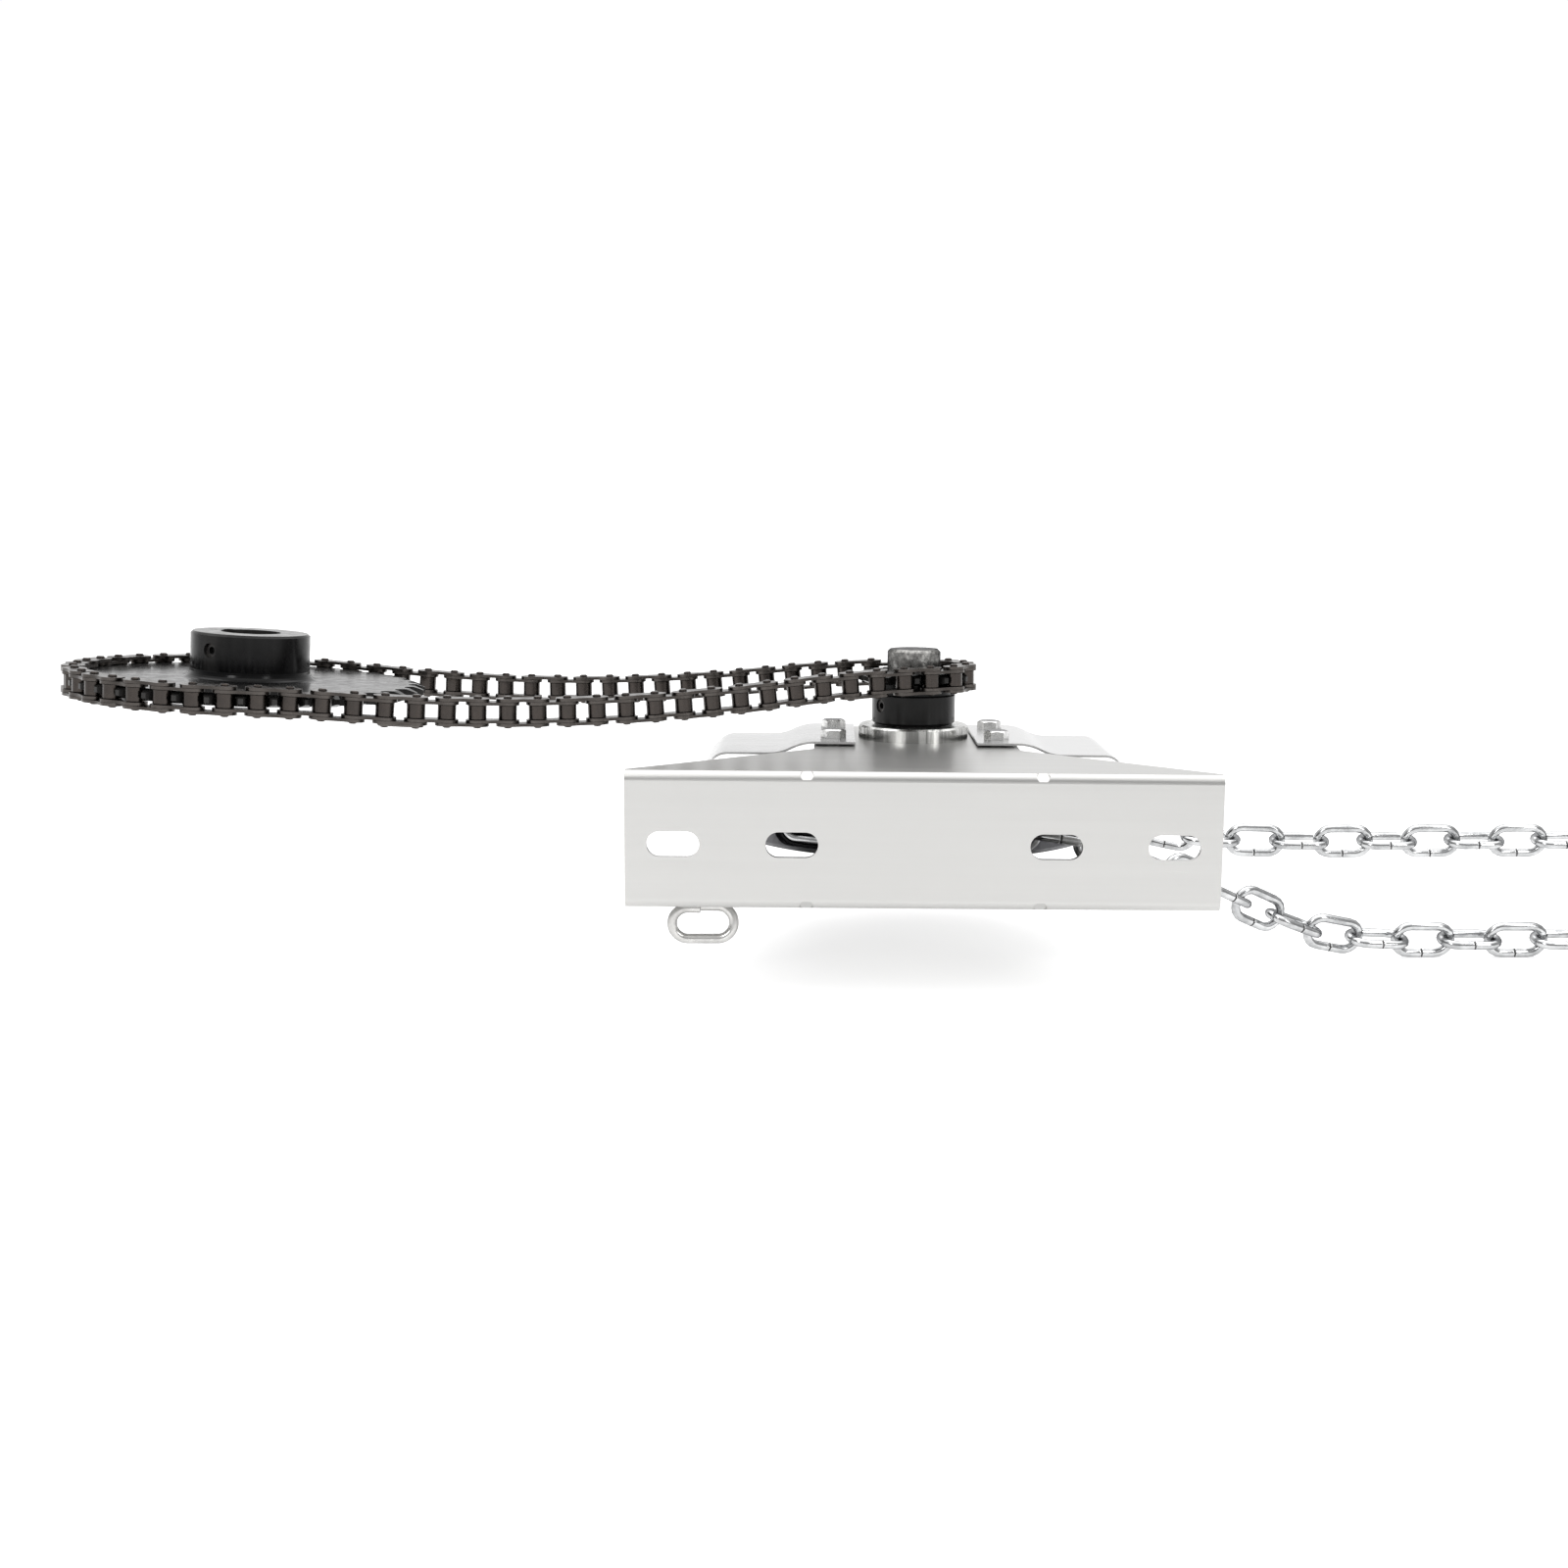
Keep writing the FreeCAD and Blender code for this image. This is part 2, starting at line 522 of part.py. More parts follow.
def drive_set_screws():
    screws = []
    for a in DRIVE_SCREWS:
        out = V(math.cos(rad(a)), math.sin(rad(a)), 0)
        start = SHAFT_R + 0.05 if a else SHAFT_R + KEY_H / 2 + 0.25
        base = V(0, SHAFT_Y, CHAIN_Z + DRIVE_SCREW_Z)
        screws.append(set_screw(2.98, base + out * start, base + out * (DRIVE_HUB_R - 1.0)))
    return Part.makeCompound(screws)


def door_sprocket(first_gap):
    """Sprocket of the door shaft about Z, its chain plane at z = 0 and its hub upwards."""
    disc = toothed_disc(DOOR_TEETH, first_gap)
    foot, bevel = 4.0, 1.0
    base = TOOTH_T / 2
    curve = [(DOOR_HUB_R + foot * (1 - math.cos(rad(a))), base + foot * (1 - math.sin(rad(a))))
             for a in range(0, 91, 15)]
    hub = lathe([(0, base - 0.5), (DOOR_HUB_R + foot, base - 0.5)] + curve[::-1]
                + [(DOOR_HUB_R, DOOR_HUB_TOP - bevel), (DOOR_HUB_R - bevel, DOOR_HUB_TOP),
                   (0, DOOR_HUB_TOP)])
    body = disc.fuse(hub)
    body = body.cut(cylinder(DOOR_BORE_R, -TOOTH_T, DOOR_HUB_TOP + 1))
    keyway = box(0, DOOR_BORE_R + DOOR_KEYWAY_DEPTH, -DOOR_KEYWAY_W / 2, DOOR_KEYWAY_W / 2,
                 -TOOTH_T, DOOR_HUB_TOP + 1)
    keyway.rotate(V(0, 0, 0), V(0, 0, 1), DOOR_SCREWS[1])
    body = body.cut(keyway)
    for a in DOOR_SCREWS:
        out = V(math.cos(rad(a)), math.sin(rad(a)), 0)
        body = body.cut(Part.makeCylinder(DOOR_SCREW_R, DOOR_HUB_R + 2, V(0, 0, DOOR_SCREW_Z), out))
    return body.removeSplitter()


def door_set_screws():
    screws = []
    for a in DOOR_SCREWS:
        out = V(math.cos(rad(a)), math.sin(rad(a)), 0)
        base = V(0, 0, DOOR_SCREW_Z)
        start = DOOR_BORE_R + (DOOR_KEYWAY_DEPTH if a == DOOR_SCREWS[1] else 0) + 0.3
        screws.append(set_screw(DOOR_SCREW_R - 0.02, base + out * start,
                                base + out * (DOOR_HUB_R - 1.6)))
    return Part.makeCompound(screws)


# ------------------------------------------------------------------ roller chain

def strand_drop(share, length):
    """Height of a slack strand below its start, at a share of its length."""
    drop = 0.0
    for (s0, a0), (s1, a1) in zip(SAG, SAG[1:]):
        if share <= s0:
            break
        reach = min(share, s1)
        slope0 = math.tan(rad(a0))
        slope1 = math.tan(rad(a0 + (a1 - a0) * (reach - s0) / (s1 - s0)))
        drop += (slope0 + slope1) / 2 * (reach - s0) * length
    return drop


class ChainLoop:
    """The closed line of the chain's pins, from the near strand's end on the drive sprocket."""

    def __init__(self, distance):
        self.small, self.large = pitch_radius(DRIVE_TEETH), pitch_radius(DOOR_TEETH)
        self.lean = math.asin((self.large - self.small) / distance)
        self.span = distance * math.cos(self.lean)
        a = rad(CENTRE_ANGLE)
        self.along = V(-math.cos(a), -math.sin(a), 0)
        self.side = V(math.sin(a), -math.cos(a), 0)
        self.distance = distance
        self.start = V(0, SHAFT_Y, CHAIN_Z)
        end_z = CHAIN_Z - self.wrap_rise() + strand_drop(1.0, self.span)
        centre_z = end_z + self.large * math.sin(self.lean) * math.tan(rad(DOOR_TILT))
        self.centre = self.start + self.along * distance
        self.centre.z = centre_z
        self.arcs = [self.span, (math.pi + 2 * self.lean) * self.large, self.span,
                     (math.pi - 2 * self.lean) * self.small]
        self.total = sum(self.arcs)

    def wheel_point(self, centre, radius, angle, tilt):
        """A point of a wrapped stretch; the angle is from the along direction to the near side."""
        forward = math.cos(angle) * radius
        flat = self.along * (forward * math.cos(rad(tilt))) + self.side * (math.sin(angle) * radius)
        return centre + flat + V(0, 0, math.sin(rad(tilt)) * forward)

    def point(self, s):
        """Place and pin direction at a distance along the loop."""
        s = s % self.total
        near, wrap, far, turn = self.arcs
        up_small = V(0, 0, 1) + self.along * math.tan(rad(WRAP_TILT))
        up_large = V(0, 0, 1) - self.along * math.tan(rad(DOOR_TILT))
        corner = math.pi / 2 + self.lean
        if s < near:
            share, sign = s / near, 1
        elif s < near + wrap:
            angle = math.pi / 2 + self.lean - (s - near) / self.large
            return self.wheel_point(self.centre, self.large, angle, DOOR_TILT), up_large
        elif s < near + wrap + far:
            share, sign = 1 - (s - near - wrap) / far, -1
        else:
            angle = -corner - (s - near - wrap - far) / self.small
            return self.wheel_point(self.start, self.small, angle, -WRAP_TILT), up_small
        a = self.wheel_point(self.start, self.small, sign * corner, 0)
        b = self.wheel_point(self.centre, self.large, sign * corner, DOOR_TILT)
        place = a + (b - a) * share
        place.z = CHAIN_Z - self.wrap_rise() + strand_drop(share, self.span)
        return place, up_small * (1 - share) + up_large * share

    def wrap_rise(self):
        """Height of the drive sprocket's centre over the place where the strands leave it."""
        return -self.small * math.sin(self.lean) * math.sin(rad(WRAP_TILT))

    def pins(self):
        """Pins a chord of one pitch apart, and where the last one comes back to."""
        places, s = [0.0], 0.0
        for _ in range(PITCHES):
            here = self.point(s)[0]
            low, high = s + PITCH * 0.9, s + PITCH * 1.1
            for _ in range(40):
                middle = (low + high) / 2
                if (self.point(middle)[0] - here).Length < PITCH:
                    low = middle
                else:
                    high = middle
            s = low
            places.append(s)
        return places


def closed_loop():
    """The centre distance at which the chain's last pin meets its first, by halving."""
    low, high = 290.0, 312.0
    for _ in range(40):
        middle = (low + high) / 2
        loop = ChainLoop(middle)
        if loop.pins()[-1] > loop.total:
            low = middle
        else:
            high = middle
    return ChainLoop(low)


def link_plate(hole):
    """A chain plate in XY, its two holes half a pitch each side of the origin, from z = 0."""
    half = PITCH / 2
    waist_r = (half ** 2 - PLATE_R ** 2 + PLATE_WAIST ** 2) / (2 * PLATE_R - 2 * PLATE_WAIST)
    rise = PLATE_WAIST + waist_r
    touch = PLATE_R / (PLATE_R + waist_r)
    tx, ty = half - half * touch, rise * touch
    edges = [
        Part.Arc(V(tx, -ty, 0), V(half + PLATE_R, 0, 0), V(tx, ty, 0)).toShape(),
        Part.Arc(V(tx, ty, 0), V(0, PLATE_WAIST, 0), V(-tx, ty, 0)).toShape(),
        Part.Arc(V(-tx, ty, 0), V(-half - PLATE_R, 0, 0), V(-tx, -ty, 0)).toShape(),
        Part.Arc(V(-tx, -ty, 0), V(0, -PLATE_WAIST, 0), V(tx, -ty, 0)).toShape(),
    ]
    plate = Part.Face(Part.Wire(edges)).extrude(V(0, 0, PLATE_T))
    for x in (-half, half):
        plate = plate.cut(cylinder(hole, -1, PLATE_T + 1, x, 0))
    return plate


def chain_pin(half, neck=0.0):
    """A pin about Z with bevelled ends, and a neck for the spring clip at its lower end."""
    tip = 0.45
    if not neck:
        return lathe([(0, -half), (PIN_R - tip, -half), (PIN_R, -half + tip), (PIN_R, half - tip),
                      (PIN_R - tip, half), (0, half)])
    groove = INNER_W / 2 + 2 * PLATE_T + PLATE_GAP + 0.1
    low = groove + CLIP_T + 0.1
    end = low + 0.7
    return lathe([(0, -end), (PIN_R - tip, -end), (PIN_R, -end + tip), (PIN_R, -low), (neck, -low),
                  (neck, -groove), (PIN_R, -groove), (PIN_R, half - tip), (PIN_R - tip, half),
                  (0, half)])


def spring_clip(neck):
    half = PITCH / 2
    clip = stadium(half, 3.4, CLIP_T)
    slot = stadium(half + 4, neck + 0.05, CLIP_T + 2)
    slot.translate(V(4.0, 0, -1))
    mouth = box(half + 1.2, half + 6, -2.0, 2.0, -1, CLIP_T + 1)
    return clip.cut(slot).cut(mouth)


def roller_chain(loop):
    """All the chain's pieces: each kind is a list of solids."""
    nodes = [loop.point(s) for s in loop.pins()[:-1]]
    inner, outer = link_plate(BUSHING_R), link_plate(PIN_R)
    bushing = lathe([(BUSHING_BORE, -INNER_W / 2 - PLATE_T), (BUSHING_R, -INNER_W / 2 - PLATE_T),
                     (BUSHING_R, INNER_W / 2 + PLATE_T), (BUSHING_BORE, INNER_W / 2 + PLATE_T)])
    half = INNER_W / 2 - 0.05
    roller = lathe([(BUSHING_R + 0.1, -half), (ROLLER_R - 0.3, -half), (ROLLER_R, -half + 0.3),
                    (ROLLER_R, half - 0.3), (ROLLER_R - 0.3, half), (BUSHING_R + 0.1, half)])
    pin, neck = chain_pin(PIN_HALF), 1.35
    join_pin, clip = chain_pin(PIN_HALF, neck), spring_clip(neck)
    inner_low = INNER_W / 2
    outer_low = INNER_W / 2 + PLATE_T + PLATE_GAP
    kinds = {name: [] for name in ("inner_plates", "outer_plates", "bushings", "rollers", "pins",
                                   "joining_pins", "joining_plates", "spring_clip")}
    for k in range(PITCHES):
        (a, up_a), (b, up_b) = nodes[k], nodes[(k + 1) % PITCHES]
        middle, along, up = (a + b) * 0.5, b - a, up_a + up_b

        def put(shape, x=0.0, z=0.0):
            moved = shape.copy()
            moved.translate(V(x, 0, z))
            return placed(Part.makeCompound([moved]), middle, along, up)

        if k % 2:
            kinds["inner_plates"] += [put(inner, 0, inner_low), put(inner, 0, -inner_low - PLATE_T)]
            for x in (-PITCH / 2, PITCH / 2):
                kinds["bushings"].append(put(bushing, x))
                kinds["rollers"].append(put(roller, x))
            continue
        joining = k == JOIN_LINK
        plates = kinds["joining_plates" if joining else "outer_plates"]
        plates += [put(outer, 0, outer_low), put(outer, 0, -outer_low - PLATE_T)]
        for x in (-PITCH / 2, PITCH / 2):
            kinds["joining_pins" if joining else "pins"].append(put(join_pin if joining else pin, x))
        if joining:
            kinds["spring_clip"].append(put(clip, 0, -outer_low - PLATE_T - 0.15 - CLIP_T))
    return kinds


def gap_angle(loop, places, first, last, centre, forward):
    """Angle of a tooth gap: where the first pin on the wrapped stretch sits, in the wheel's plane."""
    s = next(p for p in places if first <= p <= last)
    arm = loop.point(s)[0] - centre
    return math.atan2(arm.dot(loop.side), arm.dot(forward))


# ------------------------------------------------------------------ free hand chain

def round_route(points, share):
    """Straight runs joined by tangent arcs, each as large as its two runs allow."""
    points = [V(*p) for p in points]
    edges, radii, start = [], [], points[0]
    for before, corner, after in zip(points, points[1:], points[2:]):
        back, on = before - corner, after - corner
        turn = math.pi - back.getAngle(on)
        reach = share * min(back.Length, on.Length)
        radii.append(reach / math.tan(turn / 2))
        a = corner + V(back).normalize() * reach
        b = corner + V(on).normalize() * reach
        inward = (V(back).normalize() + V(on).normalize()).normalize()
        deep = radii[-1] * (1 / math.cos(turn / 2) - 1)
        edges.append(Part.makeLine(start, a))
        edges.append(Part.Arc(a, corner + inward * deep, b).toShape())
        start = b
    edges.append(Part.makeLine(start, points[-1]))
    return edges, radii


def cord_tube(name, route):
    edges, radii = round_route(route, 0.45)
    path = Part.Wire(edges)
    first = edges[0]
    direction = first.tangentAt(first.FirstParameter)
    profile = Part.Wire(Part.makeCircle(CORD_D / 2, V(*route[0]), direction))
    tube = path.makePipeShell([profile], True, False)
    length = sum(e.Length for e in edges)
    expected = math.pi * CORD_D ** 2 / 4 * length
    print(name, "length", round(length, 1), "volume share", round(tube.Volume / expected, 4),
          "radii", [round(r) for r in radii])
    return tube


def hand_chain_coil():
    """Outer shape of the neat coil that holds the rest of the endless hand chain."""
    low, high = FLOOR_Z, FLOOR_Z + COIL_H
    inner, outer, edge = COIL_R - COIL_HALF_W, COIL_R + COIL_HALF_W, 5.0
    return lathe([(inner + edge, low), (outer - edge, low), (outer, low + edge),
                  (outer, high - edge), (outer - edge, high), (inner + edge, high),
                  (inner, high - edge), (inner, low + edge)], *COIL_CENTRE)


def save_bracket():
    save("wall_bracket", wall_bracket())
    for side, word in ((1, "upper"), (-1, "lower")):
        save(word + "_bearing_flange", bearing_flange(side))
        save(word + "_bearing_bush", bearing_bush(side))
    save("chain_guide_left", chain_guide(-1))
    save("chain_guide_right", chain_guide(1))
    bolts, nuts, washers = guide_hardware()
    save("guide_bolts", bolts)
    save("guide_nuts", nuts)
    save("guide_washers", washers)
    loop = keeper_loop()
    save("keeper_loop", loop)
    save("keeper_loop_weld", keeper_weld(loop))


def save_drive(loop, places):
    hub = PLATE_H / 2 - SHEET - 1 - WASHER_T - 0.2
    save("drive_shaft", shaft())
    save("hand_chain_wheel", hand_chain_wheel())
    save("wheel_key", key(-17.9, 17.9))
    start = V(-SHAFT_R - 0.05, SHAFT_Y, -hub + 7)
    save("wheel_set_screw", set_screw(2.98, start, V(-WHEEL_HUB_R + 1.2, SHAFT_Y, -hub + 7)))
    near, wrap, far = loop.arcs[:3]
    gap = gap_angle(loop, places, near + wrap + far, loop.total, loop.start, loop.along)
    world = math.atan2(loop.along.y, loop.along.x) - gap * handed(loop)
    save("drive_sprocket", drive_sprocket(world))
    save("drive_sprocket_key", key(PLATE_H / 2 + FLANGE_T + 0.5, CHAIN_Z + TOOTH_T / 2))
    save("drive_set_screws", drive_set_screws())
    save("thrust_washers", thrust_washers())
    save("shaft_retaining_ring", retaining_ring())


def handed(loop):
    """Minus one where turning from the along direction to the near side runs with +Z, else one."""
    return -1.0 if loop.along.cross(loop.side).z > 0 else 1.0


def save_door_sprocket(loop, places):
    near, wrap = loop.arcs[:2]
    tilt = rad(DOOR_TILT)
    forward = loop.along * math.cos(tilt) + V(0, 0, math.sin(tilt))
    gap = gap_angle(loop, places, near, near + wrap, loop.centre, forward)
    up = V(0, 0, 1) - loop.along * math.tan(tilt)
    save("door_sprocket", placed(door_sprocket(-gap * handed(loop)), loop.centre, forward, up))
    save("door_set_screws", placed(door_set_screws(), loop.centre, forward, up))
    print("door sprocket centre", loop.centre, "axis", up.normalize(), "distance", loop.distance)


def save_chains(loop):
    kinds = roller_chain(loop)
    for name in kinds:
        save("roller_chain_" + name, Part.makeCompound(kinds[name]))
    lying, standing = wheel_links()
    save("hand_chain_pocket_links", lying)
    save("hand_chain_groove_links", standing)
    save("hand_chain_near_strand", cord_tube("near strand", NEAR_ROUTE))
    save("hand_chain_far_strand", cord_tube("far strand", FAR_ROUTE))
    save("hand_chain_coil", hand_chain_coil())


def main():
    os.makedirs("parts", exist_ok=True)
    loop = closed_loop()
    places = loop.pins()[:-1]
    save_bracket()
    save_drive(loop, places)
    save_door_sprocket(loop, places)
    save_chains(loop)


main()
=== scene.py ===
"""Looks of a hand chain hoist that opens a garage door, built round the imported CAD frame.

Metres, in the row's frame: the wall plate's outer face is at y = 0, +Z runs along the hoist shaft.
"""

import json
import math

import bpy
from mathutils import Matrix, Vector


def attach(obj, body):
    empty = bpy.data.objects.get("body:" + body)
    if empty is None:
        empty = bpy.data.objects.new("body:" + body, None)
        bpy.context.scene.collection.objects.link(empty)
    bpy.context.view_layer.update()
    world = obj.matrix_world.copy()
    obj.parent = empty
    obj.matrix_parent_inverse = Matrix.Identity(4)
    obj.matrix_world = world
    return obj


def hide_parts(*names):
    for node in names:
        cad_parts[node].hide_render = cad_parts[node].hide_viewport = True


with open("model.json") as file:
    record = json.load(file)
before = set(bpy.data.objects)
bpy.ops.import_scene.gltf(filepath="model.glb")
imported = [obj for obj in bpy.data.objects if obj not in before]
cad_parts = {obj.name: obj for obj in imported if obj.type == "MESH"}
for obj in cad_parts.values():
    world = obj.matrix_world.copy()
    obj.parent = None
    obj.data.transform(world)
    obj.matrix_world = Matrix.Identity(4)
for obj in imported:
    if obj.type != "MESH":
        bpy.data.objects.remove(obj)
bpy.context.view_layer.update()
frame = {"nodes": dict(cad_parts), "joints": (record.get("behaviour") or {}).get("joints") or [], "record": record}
NODES = frame["nodes"]

UP = (0.0, 0.0, 1.0)
SHAFT = Vector((0.0, 0.121, 0.0))
DOOR_HINGE = next(j for j in frame["joints"] if j["name"] == "door_sprocket_spin")
DOOR_CENTRE = Vector(DOOR_HINGE["pos_m"])
DOOR_AXIS = Vector(DOOR_HINGE["axis"])

# ---- hand chain: the CAD tubes' routes, in order from the wheel ----
NEAR_ROUTE = [(0.0479, 0.0367, -0.0020), (0.0680, 0.0375, -0.0045), (0.0890, 0.0415, -0.0105),
              (0.1100, 0.0485, -0.0195), (0.1320, 0.0600, -0.0305), (0.1545, 0.0725, -0.0420),
              (0.1760, 0.0825, -0.0525), (0.1990, 0.0890, -0.0590), (0.2260, 0.0920, -0.0605),
              (0.2580, 0.0935, -0.0605), (0.2980, 0.0945, -0.0605), (0.3450, 0.0955, -0.0605),
              (0.4000, 0.0985, -0.0605), (0.4550, 0.0960, -0.0605)]
FAR_ROUTE = [(0.0401, 0.2053, -0.0020), (0.0700, 0.2035, -0.0065), (0.0920, 0.1965, -0.0145),
             (0.1130, 0.1870, -0.0225), (0.1360, 0.1780, -0.0275), (0.1630, 0.1730, -0.0285),
             (0.1980, 0.1705, -0.0284), (0.2420, 0.1700, -0.0279), (0.2900, 0.1700, -0.0271),
             (0.3360, 0.1705, -0.0268), (0.3660, 0.1730, -0.0266), (0.3920, 0.1850, -0.0267),
             (0.4100, 0.2070, -0.0272), (0.4170, 0.2360, -0.0278)]
COIL_CENTRE = Vector((0.512, 0.209))
COIL_POINTS = 16                  # points of the spline in one turn of the coil
LINK_PITCH = 0.022
LINK_SLACK = 0.0002               # a link's inner length over the pitch
LINK_W = 0.0174                   # outside width
LINK_ARC = 10                     # steps round each end of a link
LINK_RING = 14                    # sides of the wire
LINK_ROLL = 11.0                  # how far the lying links lean towards the wall side, degrees
ROLL_IN = 5                       # links over which the lean grows from the wheel
WIRE = 0.004
LINE_STEPS = 24                   # steps of the smooth line between two points of the route
# the butt weld midway along one side of a link: place along it, and the wire's size there
SEAM = [(-0.0014, 1.0), (-0.0008, 1.04), (-0.00034, 1.02), (-0.00024, 0.88),
        (0.00024, 0.88), (0.00034, 1.02), (0.0008, 1.04), (0.0014, 1.0)]
FLOOR_Z = NEAR_ROUTE[-1][2] - LINK_W / 2
# where the coil's turns lie: turn from the start, radius of the turn, height above the floor's links
TIERS = [(0.0, 0.1124, 0.0), (0.75, 0.1124, 0.0), (1.0, 0.0950, 0.0), (1.75, 0.0950, 0.0),
         (2.0, 0.0776, 0.0), (2.75, 0.0776, 0.0), (3.0, 0.0776, 0.0174), (3.75, 0.0776, 0.0174),
         (4.0, 0.0950, 0.0174), (4.75, 0.0950, 0.0174), (5.0, 0.1124, 0.0174),
         (5.75, 0.1124, 0.0174), (6.0, 0.1037, 0.0325), (7.0, 0.0990, 0.0325)]
COIL_END = 6.0 + 250.0 / 360.0    # the turn at which the far stretch leaves

# ---- tie wires round the coil's bundle of turns ----
TIE_ANGLES = (20.0, 250.0)        # where they lie round the coil, degrees
TIE_R = 0.0012                    # radius of the wire
TIE_SIDES = 10
TIE_RADIUS = 0.0950               # middle of the bundle, from the coil's centre
TIE_HALF_W = LINK_W * 1.5
TIE_HALF_H = LINK_W * 0.94
TIE_CORNER = 0.009
TIE_CORNER_STEPS = 6

# ---- camera and studio ----
CAMERA_PLACE = (-0.03813, -0.73776, 0.13234)
CAMERA_TURN = ((-1.00, "Z"), (-8.34, "X"), (-0.65, "Y"), (90.0, "X"))      # degrees, outermost first
CAMERA_LENS = 42.28
CAMERA_SENSOR = 36.0
CAMERA_SHIFT = (-0.0505, -0.00063)
CAMERA_CLIP = (0.01, 50.0)
FLOOR_REACH = 40.0                # half the floor's side
# name, place, target, size and power in watts
LIGHTS = [("key", (-0.75, -1.1, 0.95), (-0.1, 0.05, 0.0), (0.30, 1.0), 8.0),
          ("fill", (0.95, -0.9, 0.75), (0.1, 0.1, 0.0), (0.25, 0.9), 5.0)]
# the sky's strength along a direction's part: from, to, strength at each
SKY_DEPTH = (-0.20, 0.75, 0.42, 1.02)
SKY_OVERHEAD = (0.62, 0.93, 1.0, 4.6)


# ------------------------------------------------------------------ shader helpers

def rgb(red, green, blue):
    return (red, green, blue, 1.0)


def grey(level):
    return (level, level, level, 1.0)


class Shader:
    """A material's node tree, with short ways to add nodes."""

    def __init__(self, name):
        self.material = bpy.data.materials.new(name)
        self.material.use_nodes = True
        self.tree = self.material.node_tree
        self.surface = self.tree.nodes["Principled BSDF"]
        self.place = self.node("ShaderNodeTexCoord").outputs["Object"]

    def node(self, kind, **settings):
        """A new node with its settings."""
        made = self.tree.nodes.new(kind)
        for key, value in settings.items():
            setattr(made, key, value)
        return made

    def link(self, source, target):
        self.tree.links.new(source, target)

    def set(self, **values):
        """Constants of the surface, by socket name with _ for a space."""
        for key, value in values.items():
            self.surface.inputs[key.replace("_", " ")].default_value = value

    def stretched(self, scale):
        """Object coordinates scaled along each axis."""
        mapping = self.node("ShaderNodeMapping")
        mapping.inputs["Scale"].default_value = scale
        self.link(self.place, mapping.inputs["Vector"])
        return mapping.outputs["Vector"]

    def noise(self, scale, detail, rough, vector=None):
        """Noise from 0 to 1 in object coordinates, or along another vector."""
        made = self.node("ShaderNodeTexNoise")
        made.inputs["Scale"].default_value = scale
        made.inputs["Detail"].default_value = detail
        made.inputs["Roughness"].default_value = rough
        self.link(vector or self.place, made.inputs["Vector"])
        return made.outputs["Fac"]

    def span(self, source, low, high, start=0.0, end=1.0):
        """A value stretched from start..end to low..high."""
        made = self.node("ShaderNodeMapRange")
        made.inputs["From Min"].default_value = start
        made.inputs["From Max"].default_value = end
        made.inputs["To Min"].default_value = low
        made.inputs["To Max"].default_value = high
        self.link(source, made.inputs["Value"])
        return made.outputs["Result"]

    def mix(self, share, first, second):
        """The first towards the second by a share; each is a socket or a constant."""
        made = self.node("ShaderNodeMix", data_type="RGBA")
        for value, socket in ((share, made.inputs["Factor"]), (first, made.inputs["A"]),
                              (second, made.inputs["B"])):
            if isinstance(value, (float, tuple)):
                socket.default_value = value
            else:
                self.link(value, socket)
        return made.outputs["Result"]

    def radius(self, centre, axis):
        """Distance from a line through centre along axis, in metres."""
        away = self.node("ShaderNodeVectorMath", operation="SUBTRACT")
        self.link(self.place, away.inputs[0])
        away.inputs[1].default_value = tuple(centre)
        cross = self.node("ShaderNodeVectorMath", operation="CROSS_PRODUCT")
        self.link(away.outputs["Vector"], cross.inputs[0])
        cross.inputs[1].default_value = tuple(Vector(axis).normalized())
        length = self.node("ShaderNodeVectorMath", operation="LENGTH")
        self.link(cross.outputs["Vector"], length.inputs[0])
        return length.outputs["Value"]

    def rings(self, centre, axis, count_per_metre):
        """Fine turning marks round an axis, from 0 to 1."""
        made = self.node("ShaderNodeTexNoise", noise_dimensions="1D")
        made.inputs["Scale"].default_value = count_per_metre
        made.inputs["Detail"].default_value = 3.0
        self.link(self.radius(centre, axis), made.inputs["W"])
        return made.outputs["Fac"]

    def bump(self, height, strength, distance):
        """Relief of a height from 0 to 1, distance in metres."""
        made = self.node("ShaderNodeBump")
        made.inputs["Strength"].default_value = strength
        made.inputs["Distance"].default_value = distance
        self.link(height, made.inputs["Height"])
        self.link(made.outputs["Normal"], self.surface.inputs["Normal"])

    def wear(self, low, high):
        """Share of rubbed metal on convex edges, from the surface's pointiness."""
        geometry = self.node("ShaderNodeNewGeometry")
        made = self.node("ShaderNodeValToRGB")
        plain, rubbed = made.color_ramp.elements
        plain.position, rubbed.position = low, high
        plain.color, rubbed.color = grey(0.0), grey(1.0)
        self.link(geometry.outputs["Pointiness"], made.inputs["Fac"])
        return made.outputs["Color"]


# ------------------------------------------------------------------ materials

def brushed_sheet(name, light, dark, rough):
    """Rolled sheet with fine grain along X and faint clouds."""
    m = Shader(name)
    grain = m.noise(1.0, 5.0, 0.6, m.stretched((6.0, 260.0, 900.0)))
    clouds = m.noise(14.0, 3.0, 0.5)
    tone = m.mix(m.span(clouds, 0.0, 0.55), light, dark)
    colour = m.mix(m.span(grain, 0.0, 0.25), tone, dark)
    m.link(colour, m.surface.inputs["Base Color"])
    m.link(m.span(grain, rough - 0.03, rough + 0.05, 0.25, 0.75), m.surface.inputs["Roughness"])
    m.set(Metallic=0.9)
    m.bump(grain, 0.05, 0.00002)
    return m.material


